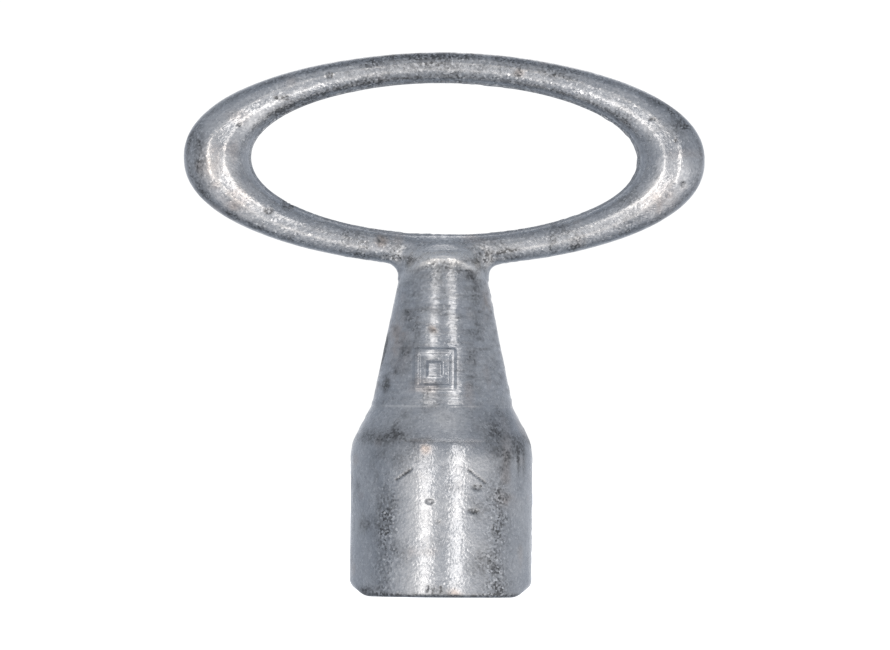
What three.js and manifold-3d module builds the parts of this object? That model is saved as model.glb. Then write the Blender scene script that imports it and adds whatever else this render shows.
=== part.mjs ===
// Radiator bleed key: a zinc alloy die casting with an oval finger bow, a tapered shank and a round
// barrel that holds a square drive socket. Millimetres, +Z up. The origin is the centre of the socket
// mouth. X runs across the bow and Y through its thickness, with the front at -Y.

import * as THREE from 'three';
import { mergeVertices } from 'three/addons/utils/BufferGeometryUtils.js';
import Module from 'manifold-3d';

// Overall
const OVERALL_HEIGHT = 42.0;

// Bow: the ring lies between an outer oval and an oval opening, both ellipses about one centre. Its
// section is about round, so the bow is as deep as it is thick.
const BOW_WIDTH = 40.2;
const BOW_HEIGHT = 16.5;
const LOBE_THICKNESS = 5.18;
const BAR_THICKNESS = 2.42;

// Shank: a straight taper from the neck down to the witness line.
const NECK_HEIGHT = 24.5;
const NECK_RADIUS = 3.4;
const WITNESS_HEIGHT = 14.65;
const WITNESS_RADIUS = 5.43;

// Cap of the shank: it arches from side to side, and carries the bow.
const CAP_HEIGHT = 26.2;
const CAP_ARCH_RADIUS = 6.7;

// Fillet webs between the neck and the underside of the bow
const WEB_FILLET_RADIUS = 1.4;
const WEB_FILLET_CENTRE_X = 4.8;
const WEB_FILLET_CENTRE_Z = 24.45;
const WEB_THICKNESS = 1.8;

// Socket barrel: a flare that turns into a plain cylinder through two arcs, which meet in a faint
// crease at the shoulder. Angles are from the vertical. A narrow chamfer runs round the bottom rim,
// and the two bottom corners on the casting's parting line are trimmed off flat.
const BARREL_RADIUS = 7.0;
const SHOULDER_HEIGHT = 11.93;
const SHOULDER_ANGLE_BELOW = THREE.MathUtils.degToRad(16);
const SHOULDER_ANGLE_ABOVE = THREE.MathUtils.degToRad(20);
const FLARE_ANGLE = THREE.MathUtils.degToRad(28);
const FLARE_ARC_RADIUS = 5.0;
const RIM_CHAMFER = 0.25;
const CORNER_TRIM_HEIGHT = 0.95;
const CORNER_TRIM_WIDTH = 1.22;

// Square drive socket: a 5 mm square with running clearance and a lead-in at its mouth
const SOCKET_SQUARE = 5.2;
const SOCKET_DEPTH = 9.5;
const LEAD_IN = 0.4;

// Raised mark on the front of the shank: a plain square frame round a small square pad
const MARK_CENTRE_X = -0.55;
const MARK_CENTRE_Z = 17.55;
const MARK_SQUARE = 3.2;
const MARK_LINE = 0.4;
const MARK_PAD = 1.2;
const MARK_RELIEF = 0.15;

// Fineness of the round surfaces
const RING_STEPS = 72;
const SECTION_SIDES = 16;
const LATHE_SIDES = 48;
const ARC_STEPS = 5;

const BOW_CENTRE_HEIGHT = OVERALL_HEIGHT - BOW_HEIGHT / 2;

const wasm = await Module();
wasm.setup();

// Turns a closed three.js geometry into a solid that can be cut and joined.
function solidFrom(geometry) {
  const positions = geometry.clone();
  positions.deleteAttribute('normal');
  positions.deleteAttribute('uv');
  const merged = mergeVertices(positions, 1e-4);
  const mesh = new wasm.Mesh({
    numProp: 3,
    vertProperties: Float32Array.from(merged.attributes.position.array),
    triVerts: Uint32Array.from(merged.index.array),
  });
  return new wasm.Manifold(mesh);
}

// Turns a cut or joined solid back into a three.js geometry.
function geometryFrom(solid) {
  const { vertProperties, triVerts } = solid.getMesh();
  const geometry = new THREE.BufferGeometry();
  geometry.setAttribute('position', new THREE.BufferAttribute(vertProperties, 3));
  geometry.setIndex(new THREE.BufferAttribute(triVerts, 1));
  geometry.computeVertexNormals();
  return geometry;
}

// Lathes a profile of [radius, height] pairs about the Z axis.
function lathe(profile) {
  const points = profile.map(([radius, height]) => new THREE.Vector2(radius, height));
  return solidFrom(new THREE.LatheGeometry(points, LATHE_SIDES).rotateX(Math.PI / 2));
}

// Extrudes an outline drawn in X and Z to a thickness centred on a place along Y.
function plate(shape, thickness, centreY) {
  const geometry = new THREE.ExtrudeGeometry(shape, { depth: thickness, bevelEnabled: false });
  geometry.rotateX(Math.PI / 2);
  geometry.translate(0, centreY + thickness / 2, 0);
  return solidFrom(geometry);
}

function squareOutline(centreX, centreZ, side) {
  const half = side / 2;
  return [
    new THREE.Vector2(centreX - half, centreZ - half),
    new THREE.Vector2(centreX + half, centreZ - half),
    new THREE.Vector2(centreX + half, centreZ + half),
    new THREE.Vector2(centreX - half, centreZ + half),
  ];
}

// Half the depth of the ring's section, from its thickness measured square to its centreline.
function sectionHalfDepth(angle) {
  const centreHalfWidth = (BOW_WIDTH - LOBE_THICKNESS) / 2;
  const centreHalfHeight = (BOW_HEIGHT - BAR_THICKNESS) / 2;
  const across = Math.cos(angle) * centreHalfHeight;
  const along = Math.sin(angle) * centreHalfWidth;
  const thickness = LOBE_THICKNESS * Math.cos(angle) * across + BAR_THICKNESS * Math.sin(angle) * along;
  return thickness / Math.hypot(across, along) / 2;
}

// A torus of unit radius and unit section, stretched to lie between the two ovals of the bow.
function bowRing() {
  const unitSection = 0.25;
  const geometry = new THREE.TorusGeometry(1, unitSection, SECTION_SIDES, RING_STEPS);
  const position = geometry.attributes.position;
  for (let i = 0; i < position.count; i += 1) {
    const x = position.getX(i);
    const y = position.getY(i);
    const angle = Math.atan2(y, x);
    const outwards = (Math.hypot(x, y) - 1) / unitSection;
    const forwards = position.getZ(i) / unitSection;
    const halfWidth = (BOW_WIDTH - LOBE_THICKNESS + outwards * LOBE_THICKNESS) / 2;
    const halfHeight = (BOW_HEIGHT - BAR_THICKNESS + outwards * BAR_THICKNESS) / 2;
    position.setXYZ(
      i,
      halfWidth * Math.cos(angle),
      -sectionHalfDepth(angle) * forwards,
      BOW_CENTRE_HEIGHT + halfHeight * Math.sin(angle),
    );
  }
  return solidFrom(geometry);
}

// The webs that ease the neck into the underside of the bow: a lathed fillet cut to a thin slice.
function neckWebs() {
  const buriedHeight = BOW_CENTRE_HEIGHT - BOW_HEIGHT / 2 + BAR_THICKNESS / 2;
  const profile = [[0, WEB_FILLET_CENTRE_Z]];
  for (let i = 0; i <= ARC_STEPS; i += 1) {
    const angle = Math.PI - 0.5 * Math.PI * i / ARC_STEPS;
    const radius = WEB_FILLET_CENTRE_X + WEB_FILLET_RADIUS * Math.cos(angle);
    profile.push([radius, WEB_FILLET_CENTRE_Z + WEB_FILLET_RADIUS * Math.sin(angle)]);
  }
  profile.push([WEB_FILLET_CENTRE_X, buriedHeight], [0, buriedHeight]);
  const slice = new THREE.BoxGeometry(BOW_WIDTH, WEB_THICKNESS, BOW_HEIGHT);
  slice.translate(0, 0, NECK_HEIGHT);
  return lathe(profile).intersect(solidFrom(slice));
}

// Points along one arc of the flare as [radius, height] pairs, from where the last one ended.
function flareArc(radius, height, firstAngle, lastAngle) {
  const points = [];
  for (let i = 1; i <= ARC_STEPS; i += 1) {
    const angle = firstAngle + (lastAngle - firstAngle) * i / ARC_STEPS;
    points.push([
      radius - FLARE_ARC_RADIUS * (Math.cos(firstAngle) - Math.cos(angle)),
      height + FLARE_ARC_RADIUS * (Math.sin(angle) - Math.sin(firstAngle)),
    ]);
  }
  return points;
}

// The lathed body, from the chamfered rim up past the cap.
function turnedBody() {
  const cylinderTop = SHOULDER_HEIGHT - FLARE_ARC_RADIUS * Math.sin(SHOULDER_ANGLE_BELOW);
  const belowShoulder = flareArc(BARREL_RADIUS, cylinderTop, 0, SHOULDER_ANGLE_BELOW);
  const [shoulderRadius, shoulderHeight] = belowShoulder[ARC_STEPS - 1];
  const aboveShoulder = flareArc(shoulderRadius, shoulderHeight, SHOULDER_ANGLE_ABOVE, FLARE_ANGLE);
  const taper = (WITNESS_RADIUS - NECK_RADIUS) / (NECK_HEIGHT - WITNESS_HEIGHT);
  const capRadius = NECK_RADIUS - taper * (CAP_HEIGHT - NECK_HEIGHT);
  const profile = [
    [0, 0],
    [BARREL_RADIUS - RIM_CHAMFER, 0],
    [BARREL_RADIUS, RIM_CHAMFER],
    [BARREL_RADIUS, cylinderTop],
    ...belowShoulder,
    ...aboveShoulder,
    [WITNESS_RADIUS, WITNESS_HEIGHT],
    [capRadius, CAP_HEIGHT],
    [0, CAP_HEIGHT],
  ];
  return lathe(profile);
}

// The front outline that the lathed body is trimmed to: two bottom corners cut off flat, straight
// sides, and the arch of the cap on top.
function trimmedOutline() {
  const trimmed = BARREL_RADIUS - CORNER_TRIM_WIDTH;
  const archAngle = Math.asin(NECK_RADIUS / CAP_ARCH_RADIUS);
  const archCentre = CAP_HEIGHT - CAP_ARCH_RADIUS;
  const outline = new THREE.Shape();
  outline.moveTo(-trimmed, 0);
  outline.lineTo(trimmed, 0);
  outline.lineTo(BARREL_RADIUS, CORNER_TRIM_HEIGHT);
  outline.lineTo(BARREL_RADIUS, archCentre + CAP_ARCH_RADIUS * Math.cos(archAngle));
  outline.absarc(0, archCentre, CAP_ARCH_RADIUS, Math.PI / 2 - archAngle, Math.PI / 2 + archAngle);
  outline.lineTo(-BARREL_RADIUS, archCentre + CAP_ARCH_RADIUS * Math.cos(archAngle));
  outline.lineTo(-BARREL_RADIUS, CORNER_TRIM_HEIGHT);
  return outline;
}

// The space inside the socket: a square prism with a pyramid lead-in that passes below the mouth.
function socketSpace() {
  const belowMouth = 1;
  const prism = new THREE.BoxGeometry(SOCKET_SQUARE, SOCKET_SQUARE, SOCKET_DEPTH + belowMouth);
  prism.translate(0, 0, (SOCKET_DEPTH - belowMouth) / 2);
  const mouthHalfSide = SOCKET_SQUARE / 2 + LEAD_IN;
  const pyramid = new THREE.ConeGeometry(Math.SQRT2 * 2 * mouthHalfSide, 2 * mouthHalfSide, 4);
  pyramid.rotateX(Math.PI / 2);
  pyramid.rotateZ(Math.PI / 4);
  return solidFrom(prism).add(solidFrom(pyramid));
}

// The raised mark: the frame and pad cut from a cone that stands proud of the taper.
function raisedMark() {
  const proud = lathe([
    [0, WITNESS_HEIGHT],
    [WITNESS_RADIUS + MARK_RELIEF, WITNESS_HEIGHT],
    [NECK_RADIUS + MARK_RELIEF, NECK_HEIGHT],
    [0, NECK_HEIGHT],
  ]);
  const frame = new THREE.Shape(squareOutline(MARK_CENTRE_X, MARK_CENTRE_Z, MARK_SQUARE));
  const inside = squareOutline(MARK_CENTRE_X, MARK_CENTRE_Z, MARK_SQUARE - 2 * MARK_LINE);
  frame.holes.push(new THREE.Path(inside));
  const pad = new THREE.Shape(squareOutline(MARK_CENTRE_X, MARK_CENTRE_Z, MARK_PAD));
  const stamps = [frame, pad].map((shape) => plate(shape, WITNESS_RADIUS, -WITNESS_RADIUS));
  return proud.intersect(stamps[0].add(stamps[1]));
}

// A slab of space between two heights, wide enough to hold the whole key.
function slab(bottom, top) {
  const geometry = new THREE.BoxGeometry(2 * BOW_WIDTH, 2 * BOW_WIDTH, top - bottom);
  geometry.translate(0, 0, (bottom + top) / 2);
  return solidFrom(geometry);
}

const trimmedBody = turnedBody().intersect(plate(trimmedOutline(), 4 * BARREL_RADIUS, 0));
const casting = trimmedBody.add(bowRing()).add(neckWebs()).add(raisedMark()).subtract(socketSpace());

const key = new THREE.Group();

// Adds the part of the casting between two heights as one named mesh.
function addSubPart(name, bottom, top, roughness) {
  const material = new THREE.MeshStandardMaterial({ color: 0x9a9ca0, roughness, metalness: 1 });
  const mesh = new THREE.Mesh(geometryFrom(casting.intersect(slab(bottom, top))), material);
  mesh.name = name;
  key.add(mesh);
}

addSubPart('socket_barrel', -OVERALL_HEIGHT, WITNESS_HEIGHT, 0.45);
addSubPart('shank', WITNESS_HEIGHT, NECK_HEIGHT, 0.4);
addSubPart('bow', NECK_HEIGHT, 2 * OVERALL_HEIGHT, 0.4);

export default key;
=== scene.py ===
import math
import bmesh
import bpy
import numpy as np
import openvdb
from mathutils import Matrix, Vector


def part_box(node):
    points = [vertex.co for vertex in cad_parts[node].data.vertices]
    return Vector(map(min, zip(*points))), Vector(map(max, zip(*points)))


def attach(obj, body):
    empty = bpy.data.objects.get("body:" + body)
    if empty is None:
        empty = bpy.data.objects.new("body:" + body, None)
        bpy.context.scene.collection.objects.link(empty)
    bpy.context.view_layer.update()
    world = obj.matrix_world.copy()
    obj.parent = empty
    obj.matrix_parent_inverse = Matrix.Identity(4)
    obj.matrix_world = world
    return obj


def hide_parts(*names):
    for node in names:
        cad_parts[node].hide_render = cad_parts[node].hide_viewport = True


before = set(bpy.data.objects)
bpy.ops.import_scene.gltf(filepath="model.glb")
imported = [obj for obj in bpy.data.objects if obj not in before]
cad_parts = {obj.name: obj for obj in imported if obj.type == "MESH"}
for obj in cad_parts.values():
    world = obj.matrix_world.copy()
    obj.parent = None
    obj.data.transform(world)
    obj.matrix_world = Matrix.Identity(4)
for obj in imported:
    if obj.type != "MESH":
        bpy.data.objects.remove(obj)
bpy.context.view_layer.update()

# The casting is shaped in millimetres and written in metres.
MM = 0.001


def box_mm(node):
    """A node's lowest and highest corners at rest, in millimetres."""
    low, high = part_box(node)
    return [value / MM for value in low], [value / MM for value in high]


bow_low, bow_high = box_mm("bow")
shank_low, shank_high = box_mm("shank")
_, barrel_high = box_mm("socket_barrel")

# Bow: an outer oval and an oval opening. A power of 2 both ways is an ellipse. A lower first power
# sharpens the oval's top, and a higher second one squares its ends.
BOW_TOP = bow_high[2]
BOW_HALF_WIDTH = bow_high[0]
BOW_HALF_HEIGHT = 8.24
OPENING_HALF_WIDTH = 14.91
OPENING_HALF_HEIGHT = 5.86
OUTER_POWERS = (1.84, 2.2)
OPENING_POWERS = (1.92, 2.05)
BOW_CENTRE = BOW_TOP - BOW_HALF_HEIGHT
# The crest, front and back, is flattened to this part of the section's half-thickness.
CREST_DEPTH = 0.976
CREST_HALF_WIDTH = math.sqrt(1 - CREST_DEPTH ** 2)
CREST_ROUNDING = 0.03

# Shank and its cap, which arches from side to side
NECK_HEIGHT = bow_low[2]
NECK_RADIUS = bow_high[1]
WITNESS_HEIGHT = shank_low[2]
WITNESS_RADIUS = shank_high[0]
TAPER = (WITNESS_RADIUS - NECK_RADIUS) / (NECK_HEIGHT - WITNESS_HEIGHT)
CAP_HEIGHT = 26.3
CAP_ARCH_RADIUS = 3.8
CAP_ARCH_DROP = 1.4
CAP_SLOPE = 0.5
CAP_ROUNDING = 0.4

# Bead along the cap's front and back edges. It spreads towards its ends, starts some way out from
# the middle plane, and is at full strength further out.
BEAD_DROP = 0.12
BEAD_HALF_WIDTH = 0.42
BEAD_HALF_LENGTH = 2.9
BEAD_SPREAD = 0.02
BEAD_RELIEF = 0.13
BEAD_START = 0.8
BEAD_FULL = 1.3

# Parting land: the thin edge left round the bow's opening where the flash was trimmed
LAND_WIDTH = 0.14
LAND_HALF_THICKNESS = 0.12
LAND_DRAFT = 0.5
LAND_OVERLAP = 0.42
LAND_ROUNDING = 0.06
LAND_FILLET = 0.1

# Root of the bow: webs at the sides, and the fillet between the bow and the cap
WEB_FILLET = 1.4
WEB_HALF_THICKNESS = 0.85
WEB_ROUNDING = 0.7
WEB_ROOT_FILLET = 0.3
ROOT_FILLET = 1.0

# Barrel
BARREL_RADIUS = barrel_high[0]
SHOULDER_HEIGHT = 11.93
SHOULDER_ANGLES = (math.radians(16), math.radians(20))
FLARE_ANGLE = math.radians(28)
FLARE_ARC_RADIUS = 5.0
RIM_CHAMFER = 0.22
CORNER_TRIM_HEIGHT = 0.92
CORNER_TRIM_WIDTH = 1.18
TRIM_ROUNDING = 0.25
CORNER_BLUR = 0.09

# Square drive socket
SOCKET_HALF = 2.6
SOCKET_DEPTH = 9.5
SOCKET_CORNER = 0.3
LEAD_IN = 0.4
MOUTH_ROUNDING = 0.12

# Raised mark on the front of the shank: a square frame and a small square pad
MARK_CENTRE_X = -0.6
MARK_CENTRE_Z = 17.5
MARK_HALF = 1.6
MARK_LINE = 0.42
MARK_PAD_HALF = 0.55
MARK_RELIEF = 0.12
MARK_ROUNDING = 0.12
MARK_FRONT = -1.0

# The casting is traced on a grid with these steps, finest on the shank for its mark, in blocks that
# reach a margin past the CAD nodes.
BOW_VOXEL = 0.14
SHANK_VOXEL = 0.09
BARREL_VOXEL = 0.12
MARGIN = 0.6


class Table:
    """A function of two coordinates, worked out once on a grid and read back by interpolation."""

    def __init__(self, function, low, high, step):
        self.low = np.array(low)
        self.step = step
        counts = [int(math.ceil((end - start) / step)) + 1 for start, end in zip(low, high)]
        axes = [start + step * np.arange(count) for start, count in zip(low, counts)]
        u, v = np.meshgrid(*axes, indexing="ij")
        self.values = function(u.ravel(), v.ravel()).reshape(u.shape)

    def blur(self, width):
        """Rounds the corners of the shape that the table holds."""
        reach = int(math.ceil(3 * width / self.step))
        offsets = np.arange(-reach, reach + 1)
        kernel = np.exp(-0.5 * (offsets * self.step / width) ** 2)
        kernel /= kernel.sum()
        for axis in (0, 1):
            padding = [(reach, reach) if a == axis else (0, 0) for a in (0, 1)]
            padded = np.pad(self.values, padding, mode="reflect", reflect_type="odd")
            if axis == 0:
                # The first coordinate is a radius, so the shape is mirrored at the axis.
                padded[:reach] = self.values[reach:0:-1]
            length = self.values.shape[axis]
            parts = [weight * np.take(padded, range(i, i + length), axis=axis)
                     for i, weight in enumerate(kernel)]
            self.values = sum(parts)

    def at(self, u, v):
        """The function's value at each pair of coordinates."""
        shape = self.values.shape
        s = np.clip((u - self.low[0]) / self.step, 0, shape[0] - 1.001)
        t = np.clip((v - self.low[1]) / self.step, 0, shape[1] - 1.001)
        i = s.astype(np.int32)
        j = t.astype(np.int32)
        s = s - i
        t = t - j
        table = self.values
        near = table[i, j] * (1 - t) + table[i, j + 1] * t
        far = table[i + 1, j] * (1 - t) + table[i + 1, j + 1] * t
        return near * (1 - s) + far * s


def distance_to_path(u, v, path):
    """Unsigned distance from each point to an open path of straight steps."""
    best = np.full(u.shape, np.inf)
    for (u0, v0), (u1, v1) in zip(path[:-1], path[1:]):
        du, dv = u1 - u0, v1 - v0
        along = np.clip(((u - u0) * du + (v - v0) * dv) / (du * du + dv * dv), 0, 1)
        best = np.minimum(best, np.hypot(u - u0 - along * du, v - v0 - along * dv))
    return best


def oval_table(half_width, half_height, powers):
    """Signed distance to a quarter of an oval, for |x| and |z| from its centre."""
    steps = 160
    path = []
    for i in range(steps + 1):
        angle = 0.5 * math.pi * i / steps
        across = half_width * max(math.cos(angle), 0) ** (2 / powers[0])
        path.append((across, half_height * math.sin(angle) ** (2 / powers[1])))

    def signed(u, v):
        inside = (u / half_width) ** powers[0] + (v / half_height) ** powers[1] < 1
        return np.where(inside, -1, 1) * distance_to_path(u, v, path)

    return Table(signed, (0, 0), (23, 11), 0.1)


def turned_profile():
    """The outline of the turned body as [radius, height] pairs, from the rim up past the cap."""
    outline = [(0, 0), (BARREL_RADIUS - RIM_CHAMFER, 0), (BARREL_RADIUS, RIM_CHAMFER)]
    below, above = SHOULDER_ANGLES
    radius = BARREL_RADIUS
    height = SHOULDER_HEIGHT - FLARE_ARC_RADIUS * math.sin(below)
    outline.append((radius, height))
    steps = 8
    for first, last in ((0, below), (above, FLARE_ANGLE)):
        for i in range(steps):
            start = first + (last - first) * i / steps
            end = first + (last - first) * (i + 1) / steps
            radius -= FLARE_ARC_RADIUS * (math.cos(start) - math.cos(end))
            height += FLARE_ARC_RADIUS * (math.sin(end) - math.sin(start))
            outline.append((radius, height))
    outline.append((WITNESS_RADIUS, WITNESS_HEIGHT))
    top = CAP_HEIGHT + 1
    outline.append((NECK_RADIUS - TAPER * (top - NECK_HEIGHT), top))
    outline.append((0, top))
    return outline


def turned_table():
    """Signed distance to the turned body for radius and height."""
    outline = turned_profile()

    def signed(u, v):
        inside = np.zeros(u.shape, bool)
        closed = outline + outline[:1]
        for (u0, v0), (u1, v1) in zip(closed[:-1], closed[1:]):
            if v0 != v1:
                crosses = (v0 > v) != (v1 > v)
                inside ^= crosses & (np.abs(u) < u0 + (v - v0) * (u1 - u0) / (v1 - v0))
        return np.where(inside, -1, 1) * distance_to_path(np.abs(u), v, outline)

    table = Table(signed, (0, -1.5), (9, 28), 0.04)
    table.blur(CORNER_BLUR)
    return table


OUTER_OVAL = oval_table(BOW_HALF_WIDTH, BOW_HALF_HEIGHT, OUTER_POWERS)
OPENING_OVAL = oval_table(OPENING_HALF_WIDTH, OPENING_HALF_HEIGHT, OPENING_POWERS)
TURNED = turned_table()


def round_union(a, b, radius):
    """Joins two solids with a fillet of the given radius."""
    corner = np.hypot(np.maximum(radius - a, 0), np.maximum(radius - b, 0))
    return np.maximum(radius, np.minimum(a, b)) - corner


def round_cut(a, b, radius):
    """Keeps what is in both solids, with rounded edges."""
    return -round_union(-a, -b, radius)


def cap_arch(x):
    """Height of the cap's top edge across the shank. The arch levels out at both ends."""
    return CAP_HEIGHT - CAP_ARCH_DROP * (1 - np.exp(-x * x / (2 * CAP_ARCH_RADIUS * CAP_ARCH_DROP)))


def cap_bead(x, y, z):
    """Strength, from 0 to 1, of the bead along the cap's front and back edges."""
    spread = BEAD_SPREAD * x * x
    above = z - CAP_HEIGHT + BEAD_DROP + x * x / (2 * CAP_ARCH_RADIUS) - spread / 2
    across = above / (BEAD_HALF_WIDTH + spread)
    fade = np.clip((np.abs(y) - BEAD_START) / (BEAD_FULL - BEAD_START), 0, 1)
    return np.exp(-across * across - (x / BEAD_HALF_LENGTH) ** 8) * fade


def body_field(x, y, z):
    """The turned body under a cap that slopes up to the bow, with two bottom corners trimmed flat."""
    turned = TURNED.at(np.hypot(x, y), z)
    beaded = turned - BEAD_RELIEF * cap_bead(x, y, z)
    cap_height = cap_arch(x) + CAP_SLOPE * (NECK_RADIUS - np.abs(y))
    above_cap = (z - cap_height) / math.hypot(1, CAP_SLOPE)
    body = round_cut(beaded, above_cap, CAP_ROUNDING)
    from_trim = np.abs(x) - BARREL_RADIUS + CORNER_TRIM_WIDTH
    beyond_trim = CORNER_TRIM_HEIGHT * from_trim - CORNER_TRIM_WIDTH * z
    length = math.hypot(CORNER_TRIM_HEIGHT, CORNER_TRIM_WIDTH)
    return round_cut(body, beyond_trim / length, TRIM_ROUNDING)


def oval_distances(x, z):
    """Signed distances to the bow's outer oval and to the oval of its opening."""
    across = np.abs(x)
    up = np.abs(z - BOW_CENTRE)
    return OUTER_OVAL.at(across, up), OPENING_OVAL.at(across, up)


def ring_field(x, y, z):
    """The bow: a round section with a flattened crest, and the parting land round the opening."""
    outer, opening = oval_distances(x, z)
    inner = opening - LAND_WIDTH
    half_thickness = (inner - outer) / 2
    ring = np.hypot((outer + inner) / 2, y) - half_thickness
    ring = round_cut(ring, np.abs(y) - CREST_DEPTH * half_thickness, CREST_ROUNDING)
    land_face = np.abs(y) - LAND_HALF_THICKNESS - LAND_DRAFT * opening
    land = round_cut(np.maximum(-opening, opening - LAND_OVERLAP), land_face, LAND_ROUNDING)
    return round_union(ring, land, LAND_FILLET)


def web_field(x, y, z):
    """The webs under the bow at both sides of the neck, each with a concave edge."""
    across = np.abs(x)
    centre_x = NECK_RADIUS + WEB_FILLET
    edge = WEB_FILLET - np.hypot(across - centre_x, z - NECK_HEIGHT)
    edge = np.maximum(edge, across - centre_x)
    edge = np.maximum(edge, NECK_HEIGHT - z)
    edge = np.maximum(edge, z - CAP_HEIGHT)
    return round_cut(edge, np.abs(y) - WEB_HALF_THICKNESS, WEB_ROUNDING)


def socket_field(x, y, z):
    """The space inside the square socket, with small corner radii and a lead-in."""
    half = SOCKET_HALF + np.maximum(LEAD_IN - z, 0) - SOCKET_CORNER
    dx = np.abs(x) - half
    dy = np.abs(y) - half
    square = np.hypot(np.maximum(dx, 0), np.maximum(dy, 0)) + np.minimum(np.maximum(dx, dy), 0)
    return np.maximum(square - SOCKET_CORNER, z - SOCKET_DEPTH)


def square_distance(x, z, half):
    """Signed distance to a square about the mark's centre, seen from the front."""
    dx = np.abs(x - MARK_CENTRE_X) - half
    dz = np.abs(z - MARK_CENTRE_Z) - half
    return np.hypot(np.maximum(dx, 0), np.maximum(dz, 0)) + np.minimum(np.maximum(dx, dz), 0)


def mark_field(x, y, z, turned):
    """The raised mark: a frame and a pad that stand a little proud of the shank."""
    frame_line = np.abs(square_distance(x, z, MARK_HALF - MARK_LINE / 2)) - MARK_LINE / 2
    pad = square_distance(x, z, MARK_PAD_HALF)
    stamp = np.maximum(np.minimum(frame_line, pad), y - MARK_FRONT)
    return round_cut(turned - MARK_RELIEF, stamp, MARK_ROUNDING)


def casting_field(x, y, z):
    """Signed distance to the whole casting's smooth shape, in millimetres."""
    body = body_field(x, y, z)
    marked = round_union(body, mark_field(x, y, z, body), MARK_ROUNDING)
    ringed = round_union(marked, ring_field(x, y, z), ROOT_FILLET)
    whole = round_union(ringed, web_field(x, y, z), WEB_ROOT_FILLET)
    return round_cut(whole, -socket_field(x, y, z), MOUTH_ROUNDING)


def casting_at(points):
    """Signed distance to the casting's smooth shape at scattered points."""
    return casting_field(*points.T)


def gradient(function, points, step):
    """Slope, along each axis, of a function of scattered points."""
    result = np.empty_like(points)
    for axis in range(3):
        shift = np.zeros(3)
        shift[axis] = step
        result[:, axis] = (function(points + shift) - function(points - shift)) / (2 * step)
    return result


def unit(vectors):
    """The vectors at a length of 1."""
    return vectors / np.maximum(np.linalg.norm(vectors, axis=1, keepdims=True), 1e-9)


def smooth_normals(points):
    """Normals of the casting's smooth shape."""
    return unit(gradient(casting_at, points, 0.02))


# Fine relief of the cast surface

LATTICE = 64
LATTICE_SHIFT = 1000.5


def noise(points, cell, seed, stretch=(1, 1, 1)):
    """Smooth random relief between -1 and 1, with bumps about one cell wide."""
    values = np.random.default_rng(seed).uniform(-1, 1, (LATTICE, LATTICE, LATTICE))
    scaled = points / (cell * np.array(stretch)) + LATTICE_SHIFT
    whole = np.floor(scaled).astype(np.int64)
    part = scaled - whole
    part = part * part * (3 - 2 * part)
    total = np.zeros(len(points))
    for corner in range(8):
        step = np.array([corner & 1, corner >> 1 & 1, corner >> 2 & 1])
        index = (whole + step) % LATTICE
        weight = np.prod(np.where(step, part, 1 - part), axis=1)
        total += weight * values[index[:, 0], index[:, 1], index[:, 2]]
    return total


# Casting pits on the front: x, z, half-width, half-height and depth, in millimetres
FRONT_PITS = [
    (-0.87, 7.36, 0.32, 0.20, 0.07),
    (2.75, 8.44, 0.40, 0.24, 0.05),
    (2.45, 6.66, 0.40, 0.20, 0.07),
    (-0.25, 5.81, 0.18, 0.14, 0.04),
    (-15.80, 36.20, 0.20, 0.12, 0.05),
    (-13.50, 29.60, 0.35, 0.25, 0.05),
    (-12.60, 38.35, 0.60, 0.16, 0.05),
    (-12.00, 30.15, 0.45, 0.40, 0.06),
    (-8.90, 40.10, 0.30, 0.20, 0.04),
    (5.70, 40.40, 0.35, 0.25, 0.05),
    (16.00, 36.90, 0.24, 0.13, 0.05),
    (18.55, 36.35, 0.18, 0.20, 0.08),
    (17.80, 35.20, 0.14, 0.14, 0.05),
    (18.40, 31.90, 0.22, 0.22, 0.04),
]

# Grooves struck in the front: both ends' x and z, half-width and depth
FRONT_GROOVES = [
    (-3.42, 9.02, -2.30, 9.80, 0.085, 0.05),
    (2.10, 9.80, 3.32, 8.84, 0.085, 0.04),
    (-1.05, 0.45, -0.95, 0.85, 0.07, 0.05),
    (-0.55, 0.40, -0.50, 0.80, 0.06, 0.05),
    (0.05, 0.35, 0.05, 0.90, 0.07, 0.05),
]

# Waviness of the cast skin, from broad to fine: height and cell in millimetres, and seed
SKIN_WAVES = [
    (0.010, 2.6, 11),
    (0.005, 1.1, 12),
    (0.003, 0.5, 13),
    (0.002, 0.26, 14),
]

# Lines that run right round the key: height up the key, relief and half-width
TURNED_LINES = [
    (WITNESS_HEIGHT, 0.018, 0.06),
    (SHOULDER_HEIGHT, -0.02, 0.08),
]

# Parting flash, and the share of it left on the bow's outside, where it is trimmed closer
FLASH_HEIGHT = 0.065
FLASH_HALF_WIDTH = 0.2
FLASH_REACH = 0.6
FLASH_OUTSIDE_SHARE = 0.3


def bell(distance):
    """A soft-edged strength: 1 at no distance, and falling off past a distance of 1."""
    return np.exp(-distance ** 2)


def on_front(points):
    """True at the points on the key's front half."""
    return points[:, 1] < 0


def pit_reach(points, pit_x, pit_z, half_width, half_height):
    """Distance from a pit's centre, where 1 is the pit's edge."""
    return np.hypot((points[:, 0] - pit_x) / half_width, (points[:, 2] - pit_z) / half_height)


def groove_distance(points, start_x, start_z, end_x, end_z, half_width):
    """Distance from a groove's line, in its half-widths."""
    line = [(start_x, start_z), (end_x, end_z)]
    return distance_to_path(points[:, 0], points[:, 2], line) / half_width


def dent_depth(points):
    """Depth of the pits and grooves at each point."""
    depth = np.zeros(len(points))
    for *pit, pit_depth in FRONT_PITS:
        depth += pit_depth * bell(pit_reach(points, *pit) ** 2)
    for *groove, groove_depth in FRONT_GROOVES:
        depth += groove_depth * bell(groove_distance(points, *groove))
    return depth * on_front(points)


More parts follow.
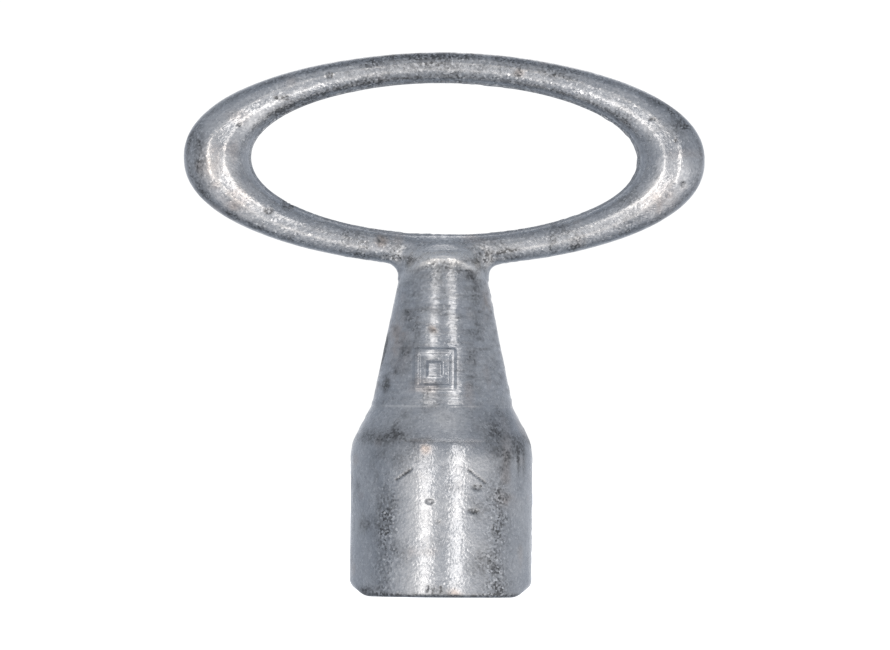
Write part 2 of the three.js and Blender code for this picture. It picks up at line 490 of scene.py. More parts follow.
def parting_flash(points):
    """The trimmed parting line along the silhouette, ragged in places and most so in the opening."""
    flash = np.zeros(len(points))
    near = np.abs(points[:, 1]) < FLASH_REACH
    spots = points[near]
    x, y, z = spots.T
    ragged = np.clip(0.4 + noise(spots, 0.32, 21), 0, 1)
    uneven = np.clip(0.5 + 1.5 * noise(spots, 3.0, 22), 0.1, 1)
    outer, opening = oval_distances(x, z)
    share = np.where((z > CAP_HEIGHT) & (outer > -opening), FLASH_OUTSIDE_SHARE, 1)
    flash[near] = FLASH_HEIGHT * share * ragged * uneven * bell(y / FLASH_HALF_WIDTH)
    return flash


def skin(points):
    """How far the cast surface stands out from the smooth shape, in millimetres."""
    relief = parting_flash(points) - dent_depth(points)
    for height, cell, seed in SKIN_WAVES:
        relief += height * noise(points, cell, seed)
    for height, line_relief, half_width in TURNED_LINES:
        relief += line_relief * bell((points[:, 2] - height) / half_width)
    return relief


def finished_normals(points):
    """Normals of the smooth shape, tilted by the slope of its fine relief."""
    smooth = smooth_normals(points)
    slope = gradient(skin, points, 0.05)
    slope -= smooth * np.sum(slope * smooth, axis=1, keepdims=True)
    return unit(smooth - slope)


# Places on the front are given by x, z, half-width, half-height, tilt in degrees and strength.
FRONT_STAINS_AND_SHADE = [
    (-5.00, 12.20, 1.50, 0.65, 0, 0.32),
    (-2.80, 12.10, 1.50, 0.50, 0, 0.30),
    (-3.40, 12.80, 0.90, 0.80, 50, 0.20),
    (-1.50, 12.05, 1.00, 0.20, 0, 0.35),
    (4.20, 12.70, 1.30, 0.60, -38, 0.40),
    (5.60, 12.10, 1.30, 0.65, -12, 0.45),
    (4.90, 11.20, 1.30, 0.60, 0, 0.50),
    (5.90, 10.40, 0.12, 1.30, 0, 0.55),
    (6.30, 10.60, 0.10, 1.10, 0, 0.45),
    (-3.20, 10.90, 1.50, 0.50, 0, 0.30),
    (-4.10, 6.20, 0.75, 1.50, -15, 0.55),
    (-5.75, 5.60, 0.50, 0.55, 0, 0.60),
    (-4.40, 3.50, 0.60, 5.50, 0, 0.26),
    (4.30, 4.50, 0.75, 6.00, 0, 0.40),
    (3.30, 2.80, 0.70, 1.40, 0, 0.25),
    (4.20, 0.75, 0.80, 0.45, -10, 0.55),
    (-0.10, 0.60, 0.90, 0.35, 0, 0.45),
    (-5.60, 0.50, 0.90, 0.30, 0, 0.60),
    (-4.30, 16.20, 0.35, 0.80, 0, 0.70),
    (-3.60, 17.30, 0.14, 0.20, 0, 0.60),
    (-2.20, 16.20, 0.40, 0.35, 0, 0.35),
    (2.20, 17.90, 0.45, 1.40, 0, 0.40),
    (-2.00, 20.60, 0.35, 2.40, 0, 0.30),
    (-0.80, 20.50, 0.36, 0.20, -35, 0.55),
    (-3.70, 26.60, 0.60, 0.70, 0, 0.40),
    (3.60, 26.60, 0.60, 0.70, 0, 0.40),
    (-2.70, 22.00, 0.30, 1.00, 0, 0.30),
    (2.10, 24.70, 0.60, 0.40, -35, 0.50),
    # Painted shade below the cap's front edge.
    (-0.20, 25.10, 2.00, 0.60, 0, 0.50),
    (-4.50, 19.00, 0.14, 1.30, -11.5, 1.30),
    (2.55, 22.50, 0.40, 1.80, 0, 0.40),
    (-4.75, 27.35, 0.40, 0.40, 0, 0.50),
    # Painted shade: the next two entries are thin dark lines under the bow's bottom bar, above the webs.
    (4.20, 26.55, 1.40, 0.16, 8, 0.70),
    (-3.60, 26.15, 1.20, 0.16, -6, 0.40),
    (-18.90, 33.60, 0.45, 2.40, 0, 0.45),
    (-18.30, 30.80, 0.40, 1.30, 40, 0.30),
    # Painted shade darkening the top bar.
    (0.00, 41.10, 9.00, 1.10, 0, 0.26),
    (8.00, 28.00, 5.00, 0.60, 7, 0.15),
    (-8.00, 28.00, 5.00, 0.60, -7, 0.15),
    (3.70, 19.60, 1.30, 5.00, 11.5, 0.18),
    (8.50, 40.30, 1.80, 0.25, -12, 0.45),
    (-1.60, 41.60, 2.60, 0.18, 0, 0.50),
    (-10.60, 38.10, 2.60, 0.20, 22, 0.50),
    (18.30, 36.20, 0.80, 1.00, 50, 0.20),
    (16.90, 38.00, 1.40, 0.40, -28, 0.25),
    (-17.60, 38.00, 1.60, 0.40, 32, 0.15),
]

# Rusty tints
FRONT_TINTS = [
    (-1.30, 11.45, 0.50, 0.45, 0, 0.55),
    (-3.40, 19.60, 0.80, 2.20, 0, 0.22),
    (3.40, 22.80, 0.40, 1.20, 0, 0.25),
    (-0.80, 20.55, 0.40, 0.24, -35, 0.40),
    (1.10, 0.35, 0.50, 0.30, 0, 0.35),
    (-4.75, 27.35, 0.40, 0.40, 0, 0.60),
    (5.70, 40.40, 0.40, 0.30, 0, 0.40),
    (-16.00, 30.30, 1.20, 1.20, 0, 0.20),
    (-17.90, 33.00, 0.70, 1.50, 0, 0.22),
    (16.80, 30.60, 1.40, 1.00, 40, 0.25),
    (4.90, 7.60, 0.60, 0.60, 0, 0.20),
]

# Painted highlights, in a bright rubbed-metal colour
FRONT_PAINTED_HIGHLIGHTS = [
    (8.50, 26.70, 4.50, 0.70, 8, 0.35),
    (-7.00, 27.00, 4.50, 0.70, -8, 0.15),
    (-17.70, 34.50, 0.90, 2.80, 0, 0.50),
    (-2.10, 26.30, 1.20, 0.45, 15, 1.00),
    (2.20, 26.20, 1.00, 0.45, -20, 0.80),
    (2.60, 26.90, 0.70, 0.40, 15, 0.90),
    (-15.20, 31.20, 2.20, 0.50, -38, 0.35),
    (15.60, 31.40, 2.20, 0.50, 38, 0.35),
]

# Thin staining all over: the least there is, what the clouds and the specks add where they are
# stronger than a start, and what mottles the shank
THIN_STAIN = 0.06
CLOUD_STAIN = 0.6
CLOUD_START = 0.1
SPECK_STAIN = 0.3
SPECK_START = 0.45
SHANK_STAIN = 0.02
SHANK_MOTTLE = 0.3

# Grime in the pits, by their own size, and in the grooves, for each millimetre of depth
PIT_GRIME = 0.75
PIT_RING_REACH = 0.7
PIT_RING_WIDTH = 0.45
GROOVE_GRIME = 16
GROOVE_GRIME_WIDTH = 1.3

# Painted shade along the bow's two edges: strength, distance outside the edge's oval, and half-width
OPENING_SHADE = 0.35
OPENING_SHADE_PLACE = 0.45
OPENING_SHADE_WIDTH = 0.3
OUTSIDE_SHADE = 0.3
OUTSIDE_SHADE_PLACE = -0.3
OUTSIDE_SHADE_WIDTH = 0.2

# Dark lines under the bead and at the barrel's bottom edge, which are painted shadow, and a dark line at
# the shoulder. The bead itself carries less of the stains, as part of its painted highlight.
BEAD_HIGHLIGHT_CLEARING = 0.8
UNDER_BEAD_SHADOW = 0.25
SHOULDER_DARK_LINE = 0.45
SHOULDER_DARK_LINE_WIDTH = 0.14
BOTTOM_EDGE_SHADOW = 0.7
BOTTOM_EDGE_HEIGHT = 0.16

# Rubbing and painted highlight on the crest's two ridges, by the bow's half-thickness, and rubbing on the
# witness line
RIDGE_WIDTH = 0.06
OUTER_RIDGE_WEAR_AND_HIGHLIGHT = 0.8
INNER_RIDGE_WEAR_AND_HIGHLIGHT = 0.3
LEAST_HALF_THICKNESS = 0.5
WITNESS_WEAR_WIDTH = 0.07

# Coarseness of the grain. The barrel has two coarse bands, at both sides of its front and back.
BARREL_GRIT = 0.5
BAND_GRIT = 0.85
BAND_GRIT_SKEW = 0.03
BAND_PLACE = 4.2
BAND_WIDTH = 0.9
BAND_TOP = 10
SHANK_GRIT = 0.55
LOBE_GRIT = 0.7
MORE_BAR_GRIT = 0.2
LOBE_EDGE = 16


def patches(points, places):
    """Strength of soft-edged patches on the front, at each point."""
    x = points[:, 0]
    z = points[:, 2]
    total = np.zeros(len(points))
    for place_x, place_z, half_width, half_height, tilt, strength in places:
        angle = math.radians(tilt)
        along = (x - place_x) * math.cos(angle) + (z - place_z) * math.sin(angle)
        across = (z - place_z) * math.cos(angle) - (x - place_x) * math.sin(angle)
        total += strength * bell(np.hypot(along / half_width, across / half_height))
    return total * on_front(points)


def cloud_strength(points):
    """The thin uneven staining all over the key, and the mottling of its shank."""
    z = points[:, 2]
    cloud = 0.5 * noise(points, 1.9, 31) + 0.5 * noise(points, 0.8, 32)
    speck = noise(points, 0.3, 33)
    stain_and_shade = THIN_STAIN + CLOUD_STAIN * np.clip(cloud - CLOUD_START, 0, 1)
    stain_and_shade += SPECK_STAIN * np.clip(speck - SPECK_START, 0, 1)
    on_shank = np.clip(z - WITNESS_HEIGHT, 0, 1) * np.clip(CAP_HEIGHT - z, 0, 1)
    mottle = SHANK_STAIN + SHANK_MOTTLE * noise(points, 0.4, 38, (2, 2, 0.6))
    return stain_and_shade + on_shank * mottle


def dent_grime(points):
    """Dirt held in the pits' rims and in the grooves."""
    grime = np.zeros(len(points))
    for *pit, _ in FRONT_PITS:
        grime += PIT_GRIME * bell((pit_reach(points, *pit) - PIT_RING_REACH) / PIT_RING_WIDTH)
    for *groove, groove_depth in FRONT_GROOVES:
        distance = groove_distance(points, *groove) / GROOVE_GRIME_WIDTH
        grime += GROOVE_GRIME * groove_depth * bell(distance)
    return grime * on_front(points)


def bow_edge_shade(points):
    """Painted shade along the upper bow's opening, and along the whole bow's outside, on the front."""
    x, _, z = points.T
    outer, opening = oval_distances(x, z)
    at_opening = bell((opening - OPENING_SHADE_PLACE) / OPENING_SHADE_WIDTH)
    at_opening *= OPENING_SHADE * np.clip((z - BOW_CENTRE) / 3, 0, 1)
    at_outside = bell((outer - OUTSIDE_SHADE_PLACE) / OUTSIDE_SHADE_WIDTH)
    at_outside *= OUTSIDE_SHADE * (z > CAP_HEIGHT - 1)
    uneven = 1 + 0.6 * noise(points, 1.2, 36)
    return (at_opening + at_outside) * uneven * on_front(points)


def stain_and_shade_strength(points):
    """How dark each point is made by stains and painted shade, from 0 to 1."""
    x, y, z = points.T
    uneven = 1 + 0.4 * noise(points, 0.6, 34) + 0.4 * noise(points, 1.4, 37)
    stain_and_shade = patches(points, FRONT_STAINS_AND_SHADE) * uneven + cloud_strength(points) + dent_grime(points)
    # The bead is cleared of most of the stains, for its painted highlight.
    stain_and_shade *= 1 - BEAD_HIGHLIGHT_CLEARING * np.clip(cap_bead(x, y, z), 0, 1)
    # Painted shadow in a band under the bead, and painted shade along the bow's two edges.
    under_bead = cap_bead(x, y, z + 1.3 * BEAD_HALF_WIDTH) ** 4
    stain_and_shade += UNDER_BEAD_SHADOW * on_front(points) * under_bead + bow_edge_shade(points)
    # A dark line round the shoulder, uneven along it.
    shoulder = bell((z - SHOULDER_HEIGHT) / SHOULDER_DARK_LINE_WIDTH)
    stain_and_shade += SHOULDER_DARK_LINE * shoulder * np.clip(0.35 + noise(points, 1.5, 35), 0, 1)
    # Painted shadow: a dark line all round the barrel's bottom edge.
    stain_and_shade += BOTTOM_EDGE_SHADOW * bell((z - BOTTOM_EDGE_HEIGHT) / BOTTOM_EDGE_HEIGHT)
    return np.clip(stain_and_shade, 0, 1)


def tint_strength(points):
    """How rusty each point is, from 0 to 1."""
    uneven = 1 + noise(points, 0.4, 42)
    scattered = 0.45 * np.clip(noise(points, 1.4, 41) - 0.45, 0, 1)
    return np.clip(patches(points, FRONT_TINTS) * uneven + scattered, 0, 1)


def crest_ridge_wear_and_highlight(points):
    """Strength of the rubbing and painted highlight on the two ridges at the sides of the bow's flattened
    crest.
    """
    x, _, z = points.T
    outer, opening = oval_distances(x, z)
    half_thickness = np.maximum((opening - LAND_WIDTH - outer) / 2, LEAST_HALF_THICKNESS)
    from_crest = (outer + opening - LAND_WIDTH) / 2 / half_thickness
    ridge = bell((np.abs(from_crest) - CREST_HALF_WIDTH) / RIDGE_WIDTH) * (z > CAP_HEIGHT + 0.5)
    ridge_wear_and_highlight = np.where(from_crest > 0, OUTER_RIDGE_WEAR_AND_HIGHLIGHT, INNER_RIDGE_WEAR_AND_HIGHLIGHT)
    return ridge * ridge_wear_and_highlight * (1 + 0.6 * noise(points, 1.6, 52))


def wear_and_highlight_strength(points):
    """How far each point is painted bright, from 0 to 1: painted highlights, rubbing with painted
    highlight on the crest's ridges, and rubbing on the witness line. The cap's front edge, a painted
    highlight, is the brightest.
    """
    # The bead along the cap's edge is painted bright: a painted highlight.
    bead = cap_bead(*points.T) * (1.5 + 0.4 * noise(points, 0.9, 51))
    witness = bell((points[:, 2] - WITNESS_HEIGHT) / WITNESS_WEAR_WIDTH)
    witness *= np.clip(0.6 + noise(points, 1.5, 53), 0, 0.9)
    return np.clip(patches(points, FRONT_PAINTED_HIGHLIGHTS) + bead + crest_ridge_wear_and_highlight(points) + witness, 0, 1)


def grit_strength(points):
    """How coarse the grain is: most on the bow and in the barrel's bands."""
    x, _, z = points.T
    band = bell((np.abs(x) - BAND_PLACE) / BAND_WIDTH) * np.clip((BAND_TOP - z) / 3, 0, 1)
    barrel = BARREL_GRIT + (BAND_GRIT + BAND_GRIT_SKEW * x) * band
    bow = LOBE_GRIT + MORE_BAR_GRIT * np.clip((LOBE_EDGE - np.abs(x)) / 3, 0, 1)
    above_shoulder = np.clip((z - SHOULDER_HEIGHT) / 0.6, 0, 1)
    on_bow = np.clip(z - CAP_HEIGHT + 1.2, 0, 1)
    return barrel * (1 - above_shoulder) + SHANK_GRIT * above_shoulder * (1 - on_bow) + bow * on_bow


# Streaks: where the grain of each sub-part is looked up. Dividing a coordinate draws the grain out
# along it.

BOW_STREAK = 1.3
BOW_LEAN = 0.05
TURNED_STREAK = 3


def bow_streaks(points):
    """Along the bow's length, across it and through its depth, so that its grain runs round the bow.

    The place across leans a little from side to side, so that the two halves differ.
    """
    x, y, z = points.T
    turns = np.linspace(-math.pi / 2, math.pi / 2, 181)
    speed = np.hypot(BOW_HALF_WIDTH * np.sin(turns), BOW_HALF_HEIGHT * np.cos(turns))
    arc = np.cumsum(speed) * (turns[1] - turns[0])
    turn = np.arctan2((z - BOW_CENTRE) / BOW_HALF_HEIGHT, np.abs(x) / BOW_HALF_WIDTH)
    outer, opening = oval_distances(x, z)
    along = np.interp(turn, turns, arc) / BOW_STREAK
    return np.stack([along, (outer + opening) / 2 + BOW_LEAN * x, y], axis=1)


def shank_streaks(points):
    """The shank's grain runs round it, as a turned die leaves it."""
    return points / (TURNED_STREAK, TURNED_STREAK, 1)


def barrel_streaks(points):
    """The flare's grain runs round it, and the barrel's is even."""
    rise = np.clip((points[:, 2:] - SHOULDER_HEIGHT) / 1.2, 0, 1)
    streak = 1 + (TURNED_STREAK - 1) * rise
    return points / np.concatenate([streak, streak, np.ones_like(rise)], axis=1)


def vertices_mm(mesh):
    """A mesh's vertices, in millimetres."""
    flat = np.empty(len(mesh.vertices) * 3)
    mesh.vertices.foreach_get("co", flat)
    return flat.reshape(-1, 3) / MM


def paint(mesh, streaks):
    """Stores the state of the skin, with its painted shade and painted highlights, and the grain's place
    at every vertex, for the material to read.
    """
    points = vertices_mm(mesh)
    strengths = {
        "stain_and_shade": stain_and_shade_strength,
        "tint": tint_strength,
        "wear_and_highlight": wear_and_highlight_strength,
        "grit": grit_strength,
    }
    for name, strength in strengths.items():
        mesh.attributes.new(name, "FLOAT", "POINT").data.foreach_set("value", strength(points))
    place = mesh.attributes.new("grain_place", "FLOAT_VECTOR", "POINT")
    place.data.foreach_set("vector", streaks(points).ravel())


def traced_surface(low, high, voxel):
    """Vertices and quads of the casting's surface in a block of space."""
    axes = [np.arange(start, end, voxel) for start, end in zip(low, high)]
    grid_x, grid_y = np.meshgrid(axes[0], axes[1], indexing="ij")
    values = np.empty([len(axis) for axis in axes], np.float32)
    for k, height in enumerate(axes[2]):
        values[:, :, k] = casting_field(grid_x, grid_y, np.full_like(grid_x, height))
    volume = openvdb.FloatGrid()
    volume.copyFromArray(values)
    vertices, quads = volume.convertToQuads(0.0)
    points = np.array(low) + voxel * vertices.astype(np.float64)
    # The grid's surface is moved onto the exact one by Newton's steps.
    for _ in range(3):
        slope = gradient(casting_at, points, 0.02)
        value = casting_at(points)
        value[np.abs(value) > voxel] = 0
        points -= slope * (value / np.maximum(np.sum(slope * slope, axis=1), 0.2))[:, None]
    return points, quads


def cut_mesh(name, points, quads, bottom, top):
    """A closed mesh of the part of the surface between two heights."""
    mesh = bpy.data.meshes.new(name)
    mesh.from_pydata((points * MM).tolist(), [], quads[:, ::-1].tolist())
    work = bmesh.new()
    work.from_mesh(mesh)
    for height, direction in ((bottom, -1), (top, 1)):
        if height is None:
            continue
        result = bmesh.ops.bisect_plane(
            work,
            geom=work.verts[:] + work.edges[:] + work.faces[:],
            plane_co=(0, 0, height * MM),
            plane_no=(0, 0, direction),
            clear_outer=True,
            dist=1e-9,
        )
        rim = [item for item in result["geom_cut"] if isinstance(item, bmesh.types.BMEdge)]
        bmesh.ops.contextual_create(work, geom=rim)
    bmesh.ops.recalc_face_normals(work, faces=work.faces[:])
    work.to_mesh(mesh)
    work.free()
    return mesh


def set_normals(mesh):
    """Smooth normals from the shape itself, so that no seam shows, and flat ones on the cut faces."""
    normals = finished_normals(vertices_mm(mesh))
    loop_vertices = np.empty(len(mesh.loops), np.int64)
    mesh.loops.foreach_get("vertex_index", loop_vertices)
    loop_normals = normals[loop_vertices]
    for polygon in mesh.polygons:
        # Only the cut faces have many sides.
        if polygon.loop_total > 8:
            for loop in polygon.loop_indices:
                loop_normals[loop] = polygon.normal
    mesh.polygons.foreach_set("use_smooth", np.ones(len(mesh.polygons), bool))
    mesh.normals_split_custom_set(loop_normals.tolist())


def add_piece(name, node, low, high, voxel, bottom, top, streaks, material):
    """One visible sub-part of the casting, which stands for one CAD node. Streaks places its grain."""
    points, quads = traced_surface(low, high, voxel)
    points += smooth_normals(points) * skin(points)[:, None]
    mesh = cut_mesh(name, points, quads, bottom, top)
    set_normals(mesh)
    paint(mesh, streaks)
    mesh.materials.append(material)
    piece = bpy.data.objects.new(name, mesh)
    bpy.context.scene.collection.objects.link(piece)
    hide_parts(node)
    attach(piece, "root")


# Material

class Nodes:
    """Short forms for building a node tree."""

    def __init__(self, tree):
        self.tree = tree

    def add(self, kind, inputs=(), **settings):
        """A node with its settings, and its inputs each linked or set."""
        node = self.tree.nodes.new(kind)
        for name, value in settings.items():
            setattr(node, name, value)
        for key, value in dict(inputs).items():
            if isinstance(value, bpy.types.NodeSocket):
                self.tree.links.new(value, node.inputs[key])
            else:
                node.inputs[key].default_value = value
        return node

    def math(self, operation, *values):
        """A number worked out from others."""
        return self.add("ShaderNodeMath", enumerate(values), operation=operation).outputs[0]

    def vector(self, operation, *values, output=0):
        """A vector worked out from others."""
        node = self.add("ShaderNodeVectorMath", enumerate(values), operation=operation)
        return node.outputs[output]

    def scaled(self, vector, scale):
        """A vector times a number."""
        inputs = {0: vector, "Scale": scale}
        return self.add("ShaderNodeVectorMath", inputs, operation="SCALE").outputs[0]

    def noise(self, place, scale, detail):
        """Smooth random numbers from 0 to 1."""
        inputs = {"Vector": place, "Scale": scale, "Detail": detail}
        return self.add("ShaderNodeTexNoise", inputs).outputs["Fac"]

    def span(self, value, low, high, new_low, new_high):
        """A value's range turned into another range, and kept inside it."""
        inputs = {
            "Value": value,
            "From Min": low,
            "From Max": high,
            "To Min": new_low,
            "To Max": new_high,
        }
        return self.add("ShaderNodeMapRange", inputs).outputs["Result"]

    def blend(self, amount, first, second):
        """A colour mixed from two colours."""
        inputs = {"Factor": amount, 6: first, 7: second}
        return self.add("ShaderNodeMix", inputs, data_type="RGBA").outputs[2]

    def stored(self, name, output):
        """What paint() stored on the mesh."""
        return self.add("ShaderNodeAttribute", attribute_name=name).outputs[output]


# Colours of the metal's surface
PALE_BLOOM = (0.62, 0.625, 0.63, 1)
BLUE_BLOOM = (0.52, 0.535, 0.555, 1)
# Bright colour of rubbed metal and of the painted highlights
RUBBED_AND_HIGHLIGHT = (0.92, 0.90, 0.87, 1)
DULL_CRYSTAL = (0.30, 0.31, 0.33, 1)
SHINY_CRYSTAL = (0.92, 0.92, 0.91, 1)
RUST = (0.64, 0.49, 0.39, 1)
# Dark colour of the stains and of the painted shade
GRIME_AND_SHADE = (0.135, 0.135, 0.135, 1)

# Cells in a metre, for the clouds and crystals, and in a millimetre, for the grain
CLOUD_SCALE = 350
CRYSTAL_SCALE = 6500
FINE_GRAIN_SCALE = 5.2
COARSE_GRAIN_SCALE = 1.9

# Depth of the grain in metres, how far the crystals lean, how much of the stains and painted shade they
# take, and the darkest that these get
GRAIN_DEPTH = 0.00002
CRYSTAL_LEAN = 0.10
STAIN_AND_SHADE_HOLD = 0.95
STAIN_AND_SHADE_SCATTER = 1.8
MOST_STAIN_AND_SHADE = 0.95


def zinc_material():
    """Bare die-cast zinc: fine bright grain in patches, a blue-grey bloom, stains and rusty tints, with
    painted shade and painted highlights in its colour.
    """
    material = bpy.data.materials.new("zinc_casting_skin")
    material.use_nodes = True
    kit = Nodes(material.node_tree)
    shader = material.node_tree.nodes["Principled BSDF"]
    shader.inputs["Metallic"].default_value = 1.0

    place = kit.stored("grain_place", "Vector")
    # Stored by paint(): stains with painted shade, rusty tints, and painted highlights with rubbing
    stain_and_shade = kit.stored("stain_and_shade", "Fac")
    tint = kit.stored("tint", "Fac")
    wear_and_highlight = kit.stored("wear_and_highlight", "Fac")
    grit = kit.stored("grit", "Fac")
    coordinates = kit.add("ShaderNodeTexCoord").outputs["Object"]
    cloud = kit.noise(coordinates, CLOUD_SCALE, 3.0)
    fine = kit.noise(place, FINE_GRAIN_SCALE, 1.5)
    coarse = kit.noise(place, COARSE_GRAIN_SCALE, 2.0)
    cells = {"Vector": coordinates, "Scale": CRYSTAL_SCALE}
    crystals = kit.add("ShaderNodeTexVoronoi", cells).outputs["Color"]
    patchy = kit.span(cloud, 0.38, 0.62, 0.5, 1.3)

    # Each crystal facet leans its own way: most only a little, a few enough to glint.
    lean = kit.vector("MULTIPLY_ADD", crystals, (2, 2, 2), (-1, -1, -1))
    lean = kit.vector("MULTIPLY", lean, kit.vector("MULTIPLY", lean, lean))
    amount = kit.math("MULTIPLY", kit.math("MULTIPLY", patchy, grit), CRYSTAL_LEAN)
    height = kit.math("MULTIPLY_ADD", coarse, 0.8, fine)
    grain = {"Strength": 1.0, "Distance": GRAIN_DEPTH, "Height": height}
    grained = kit.add("ShaderNodeBump", grain).outputs["Normal"]
    normal = kit.vector("NORMALIZE", kit.vector("ADD", grained, kit.scaled(lean, amount)))

    streaky = kit.span(fine, 0.3, 0.7, -0.4, 0.4)
    cloudy = kit.math("ADD", streaky, kit.span(cloud, 0.38, 0.62, 0, 1))
    bloom = kit.blend(cloudy, PALE_BLOOM, BLUE_BLOOM)
    # Painted highlights and rubbed metal brighten the colour here.
    bright = kit.blend(wear_and_highlight, bloom, RUBBED_AND_HIGHLIGHT)
    chance = kit.add("ShaderNodeSeparateColor", {"Color": crystals}).outputs
    dull_crystal = kit.math("MULTIPLY", grit, kit.span(chance["Blue"], 0.0, 0.35, 0.5, 0))
    shiny_crystal = kit.math("MULTIPLY", grit, kit.span(chance["Blue"], 0.75, 1.0, 0, 0.7))
    spangled = kit.blend(dull_crystal, bright, DULL_CRYSTAL)
    spangled = kit.blend(shiny_crystal, spangled, SHINY_CRYSTAL)
    rusty = kit.blend(tint, spangled, RUST)

    # Stains and painted shade take some crystals more than others.
    scatter = kit.math("MULTIPLY", kit.math("SUBTRACT", chance["Green"], 0.5), STAIN_AND_SHADE_SCATTER)
    hold = kit.math("MULTIPLY_ADD", scatter, grit, STAIN_AND_SHADE_HOLD)
    stained_and_shaded = kit.math("MINIMUM", kit.math("MULTIPLY", stain_and_shade, hold), MOST_STAIN_AND_SHADE)
    colour = kit.blend(stained_and_shaded, rusty, GRIME_AND_SHADE)
    roughness = kit.math("MULTIPLY_ADD", stain_and_shade, 0.2, kit.span(coarse, 0.35, 0.65, 0.16, 0.26))

    links = material.node_tree.links
    links.new(colour, shader.inputs["Base Color"])
    links.new(roughness, shader.inputs["Roughness"])
    links.new(normal, shader.inputs["Normal"])
    return material


zinc = zinc_material()
add_piece(
    "bow_casting", "bow",
    (-BOW_HALF_WIDTH - MARGIN, -NECK_RADIUS - MARGIN, NECK_HEIGHT - MARGIN),
    (BOW_HALF_WIDTH + MARGIN, NECK_RADIUS + MARGIN, BOW_TOP + MARGIN),
    BOW_VOXEL, NECK_HEIGHT, None, bow_streaks, zinc,
)
add_piece(
    "shank_casting", "shank",
    (-WITNESS_RADIUS - MARGIN, -WITNESS_RADIUS - MARGIN, WITNESS_HEIGHT - MARGIN),
    (WITNESS_RADIUS + MARGIN, WITNESS_RADIUS + MARGIN, NECK_HEIGHT + MARGIN),
    SHANK_VOXEL, WITNESS_HEIGHT, NECK_HEIGHT, shank_streaks, zinc,
)
add_piece(
    "barrel_casting", "socket_barrel",
    (-BARREL_RADIUS - MARGIN, -BARREL_RADIUS - MARGIN, -MARGIN),
    (BARREL_RADIUS + MARGIN, BARREL_RADIUS + MARGIN, WITNESS_HEIGHT + MARGIN),
    BARREL_VOXEL, None, WITNESS_HEIGHT, barrel_streaks, zinc,
)


# Studio

MM_PER_PICTURE_WIDTH = 68.7
LENS = 400
SENSOR = 36
CAMERA_TARGET_MM = (0.17, 0, 20.94)
CAMERA_ELEVATION = math.radians(-0.6)
CAMERA_ROLL = math.radians(0.5)


def add_camera():
    """A long lens almost level with the key, and almost upright."""
    camera_data = bpy.data.cameras.new("camera")
    camera_data.lens = LENS
    camera_data.sensor_width = SENSOR
    camera = bpy.data.objects.new("camera", camera_data)
    bpy.context.scene.collection.objects.link(camera)
    distance = MM_PER_PICTURE_WIDTH * MM * LENS / SENSOR
    target = Vector(CAMERA_TARGET_MM) * MM
    direction = Vector((0, -math.cos(CAMERA_ELEVATION), math.sin(CAMERA_ELEVATION)))
    camera.location = target + distance * direction
    aim = (-direction).to_track_quat("-Z", "Y").to_matrix().to_4x4()
    roll = Matrix.Rotation(CAMERA_ROLL, 4, "Z")
    camera.matrix_world = Matrix.Translation(camera.location) @ aim @ roll
    bpy.context.scene.camera = camera


# Soft lights, as a mirror ball before the key would show them: each one's place across and up from
# the ball's middle, its half-width and half-height there, its brightness, and how squarely it ends.
# The ball's edge is at 1, and a soft round glow ends with a squareness of 1.
FRONT_LIGHTS = [
    (-0.170, -0.02, 0.045, 0.30, 0.77, 4),
    (0.175, -0.02, 0.050, 0.30, 0.90, 4),
    (-0.22, -0.13, 0.30, 0.26, 0.28, 1),
    (0.38, -0.23, 0.26, 0.27, 0.35, 1),
    (-0.24, -0.51, 0.11, 0.12, 0.22, 1),
    (0.29, -0.53, 0.11, 0.09, 0.18, 1),
    (-0.59, -0.10, 0.14, 0.19, -0.03, 1),
    (0.80, -0.10, 0.20, 0.40, 0.06, 1),
    (0.0, 0.47, 0.26, 0.12, 0.16, 1),
    (-0.46, 0.45, 0.15, 0.15, 0.05, 1),
    (0.46, 0.45, 0.15, 0.15, 0.045, 1),
    (0.0, -0.80, 1.20, 0.30, -0.035, 1),
    (0.0, 0.60, 1.20, 0.25, -0.025, 1),
    (0.0, 1.0, 0.60, 0.07, 0.40, 1),
]

# The same for a mirror ball behind the key
BACK_LIGHTS = [
    (-0.11, -0.02, 0.100, 0.33, 0.12, 4),
    (0.11, -0.02, 0.100, 0.33, 0.12, 4),
]

# The room is a little brighter towards the ball's edge.
GREY_ROOM = 0.195
ROOM_EDGE = 0.05
ROOM_COLOUR = (0.92, 0.995, 1.13)
LIGHT_COLOUR = (1.05, 0.995, 0.945)
EXPOSURE = 2.1
WHITE_BEHIND = 1.05
FLOOR_HALF_SIZE = 3.0


def ball_place(kit, direction, towards):
    """Where a mirror ball shows a direction: its X and Z across and up the ball, with Y left out."""
    middle = kit.vector("NORMALIZE", kit.vector("ADD", direction, towards))
    return kit.vector("MULTIPLY", middle, (1, 0, 1))


def lit(kit, place, lights, total):
    """The lights' brightness at a place on the ball, added to a total."""
    for across, up, half_width, half_height, brightness, squareness in lights:
        offset = kit.vector("SUBTRACT", place, (across, 0, up))
        spread = kit.vector("DIVIDE", offset, (half_width, 1, half_height))
        squared = kit.add("ShaderNodeSeparateXYZ", {0: kit.vector("MULTIPLY", spread, spread)})
        ends = kit.math("POWER", squared.outputs["Z"], squareness)
        glow = kit.math("EXPONENT", kit.math("MULTIPLY", kit.math("ADD", squared.outputs["X"], ends), -1))
        total = kit.math("MULTIPLY_ADD", glow, brightness, total)
    return total


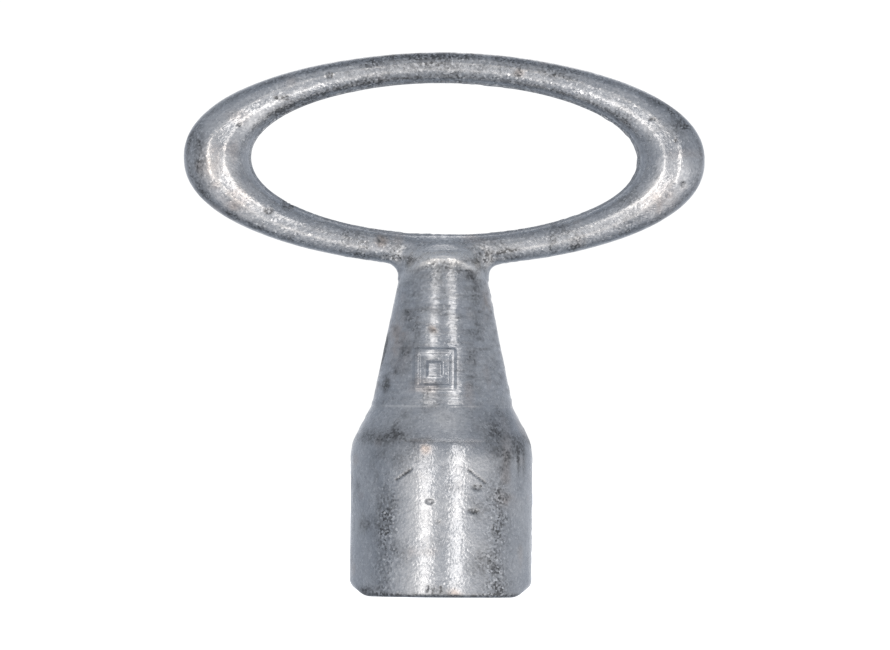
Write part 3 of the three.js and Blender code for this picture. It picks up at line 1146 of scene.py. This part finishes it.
def add_world():
    """A grey room with soft lights for the metal to reflect, and plain white behind the key."""
    world = bpy.data.worlds.new("studio")
    bpy.context.scene.world = world
    world.use_nodes = True
    kit = Nodes(world.node_tree)
    background = world.node_tree.nodes["Background"]
    direction = kit.add("ShaderNodeTexCoord").outputs["Generated"]
    front = ball_place(kit, direction, (0, -1, 0))
    back = ball_place(kit, direction, (0, 1, 0))
    edge = kit.math("POWER", kit.vector("DOT_PRODUCT", front, front, output="Value"), 4)
    room = kit.math("MULTIPLY_ADD", edge, ROOM_EDGE, GREY_ROOM)
    lights = lit(kit, back, BACK_LIGHTS, lit(kit, front, FRONT_LIGHTS, 0.0))
    reflected = kit.vector("ADD", kit.scaled(ROOM_COLOUR, room), kit.scaled(LIGHT_COLOUR, lights))
    links = world.node_tree.links
    links.new(reflected, background.inputs["Color"])
    background.inputs["Strength"].default_value = EXPOSURE
    white = kit.add("ShaderNodeBackground", {"Color": (1, 1, 1, 1), "Strength": WHITE_BEHIND})
    to_camera = kit.add("ShaderNodeLightPath").outputs["Is Camera Ray"]
    shaders = {0: to_camera, 1: background.outputs[0], 2: white.outputs[0]}
    mix = kit.add("ShaderNodeMixShader", shaders)
    links.new(mix.outputs[0], world.node_tree.nodes["World Output"].inputs["Surface"])


def add_floor():
    """A plain white floor, bright enough that no shadow of the key shows."""
    half = FLOOR_HALF_SIZE
    corners = [(-half, -half, 0), (half, -half, 0), (half, half, 0), (-half, half, 0)]
    mesh = bpy.data.meshes.new("floor")
    mesh.from_pydata(corners, [], [(0, 1, 2, 3)])
    floor = bpy.data.objects.new("floor", mesh)
    bpy.context.scene.collection.objects.link(floor)
    material = bpy.data.materials.new("pale_floor")
    material.use_nodes = True
    shader = material.node_tree.nodes["Principled BSDF"]
    shader.inputs["Base Color"].default_value = (0.9, 0.9, 0.9, 1)
    shader.inputs["Roughness"].default_value = 0.9
    shader.inputs["Emission Color"].default_value = (1, 1, 1, 1)
    shader.inputs["Emission Strength"].default_value = 0.95
    mesh.materials.append(material)
    floor.visible_glossy = False
    floor.visible_shadow = False


add_camera()
add_world()
add_floor()

bpy.context.scene.view_settings.view_transform = "Standard"
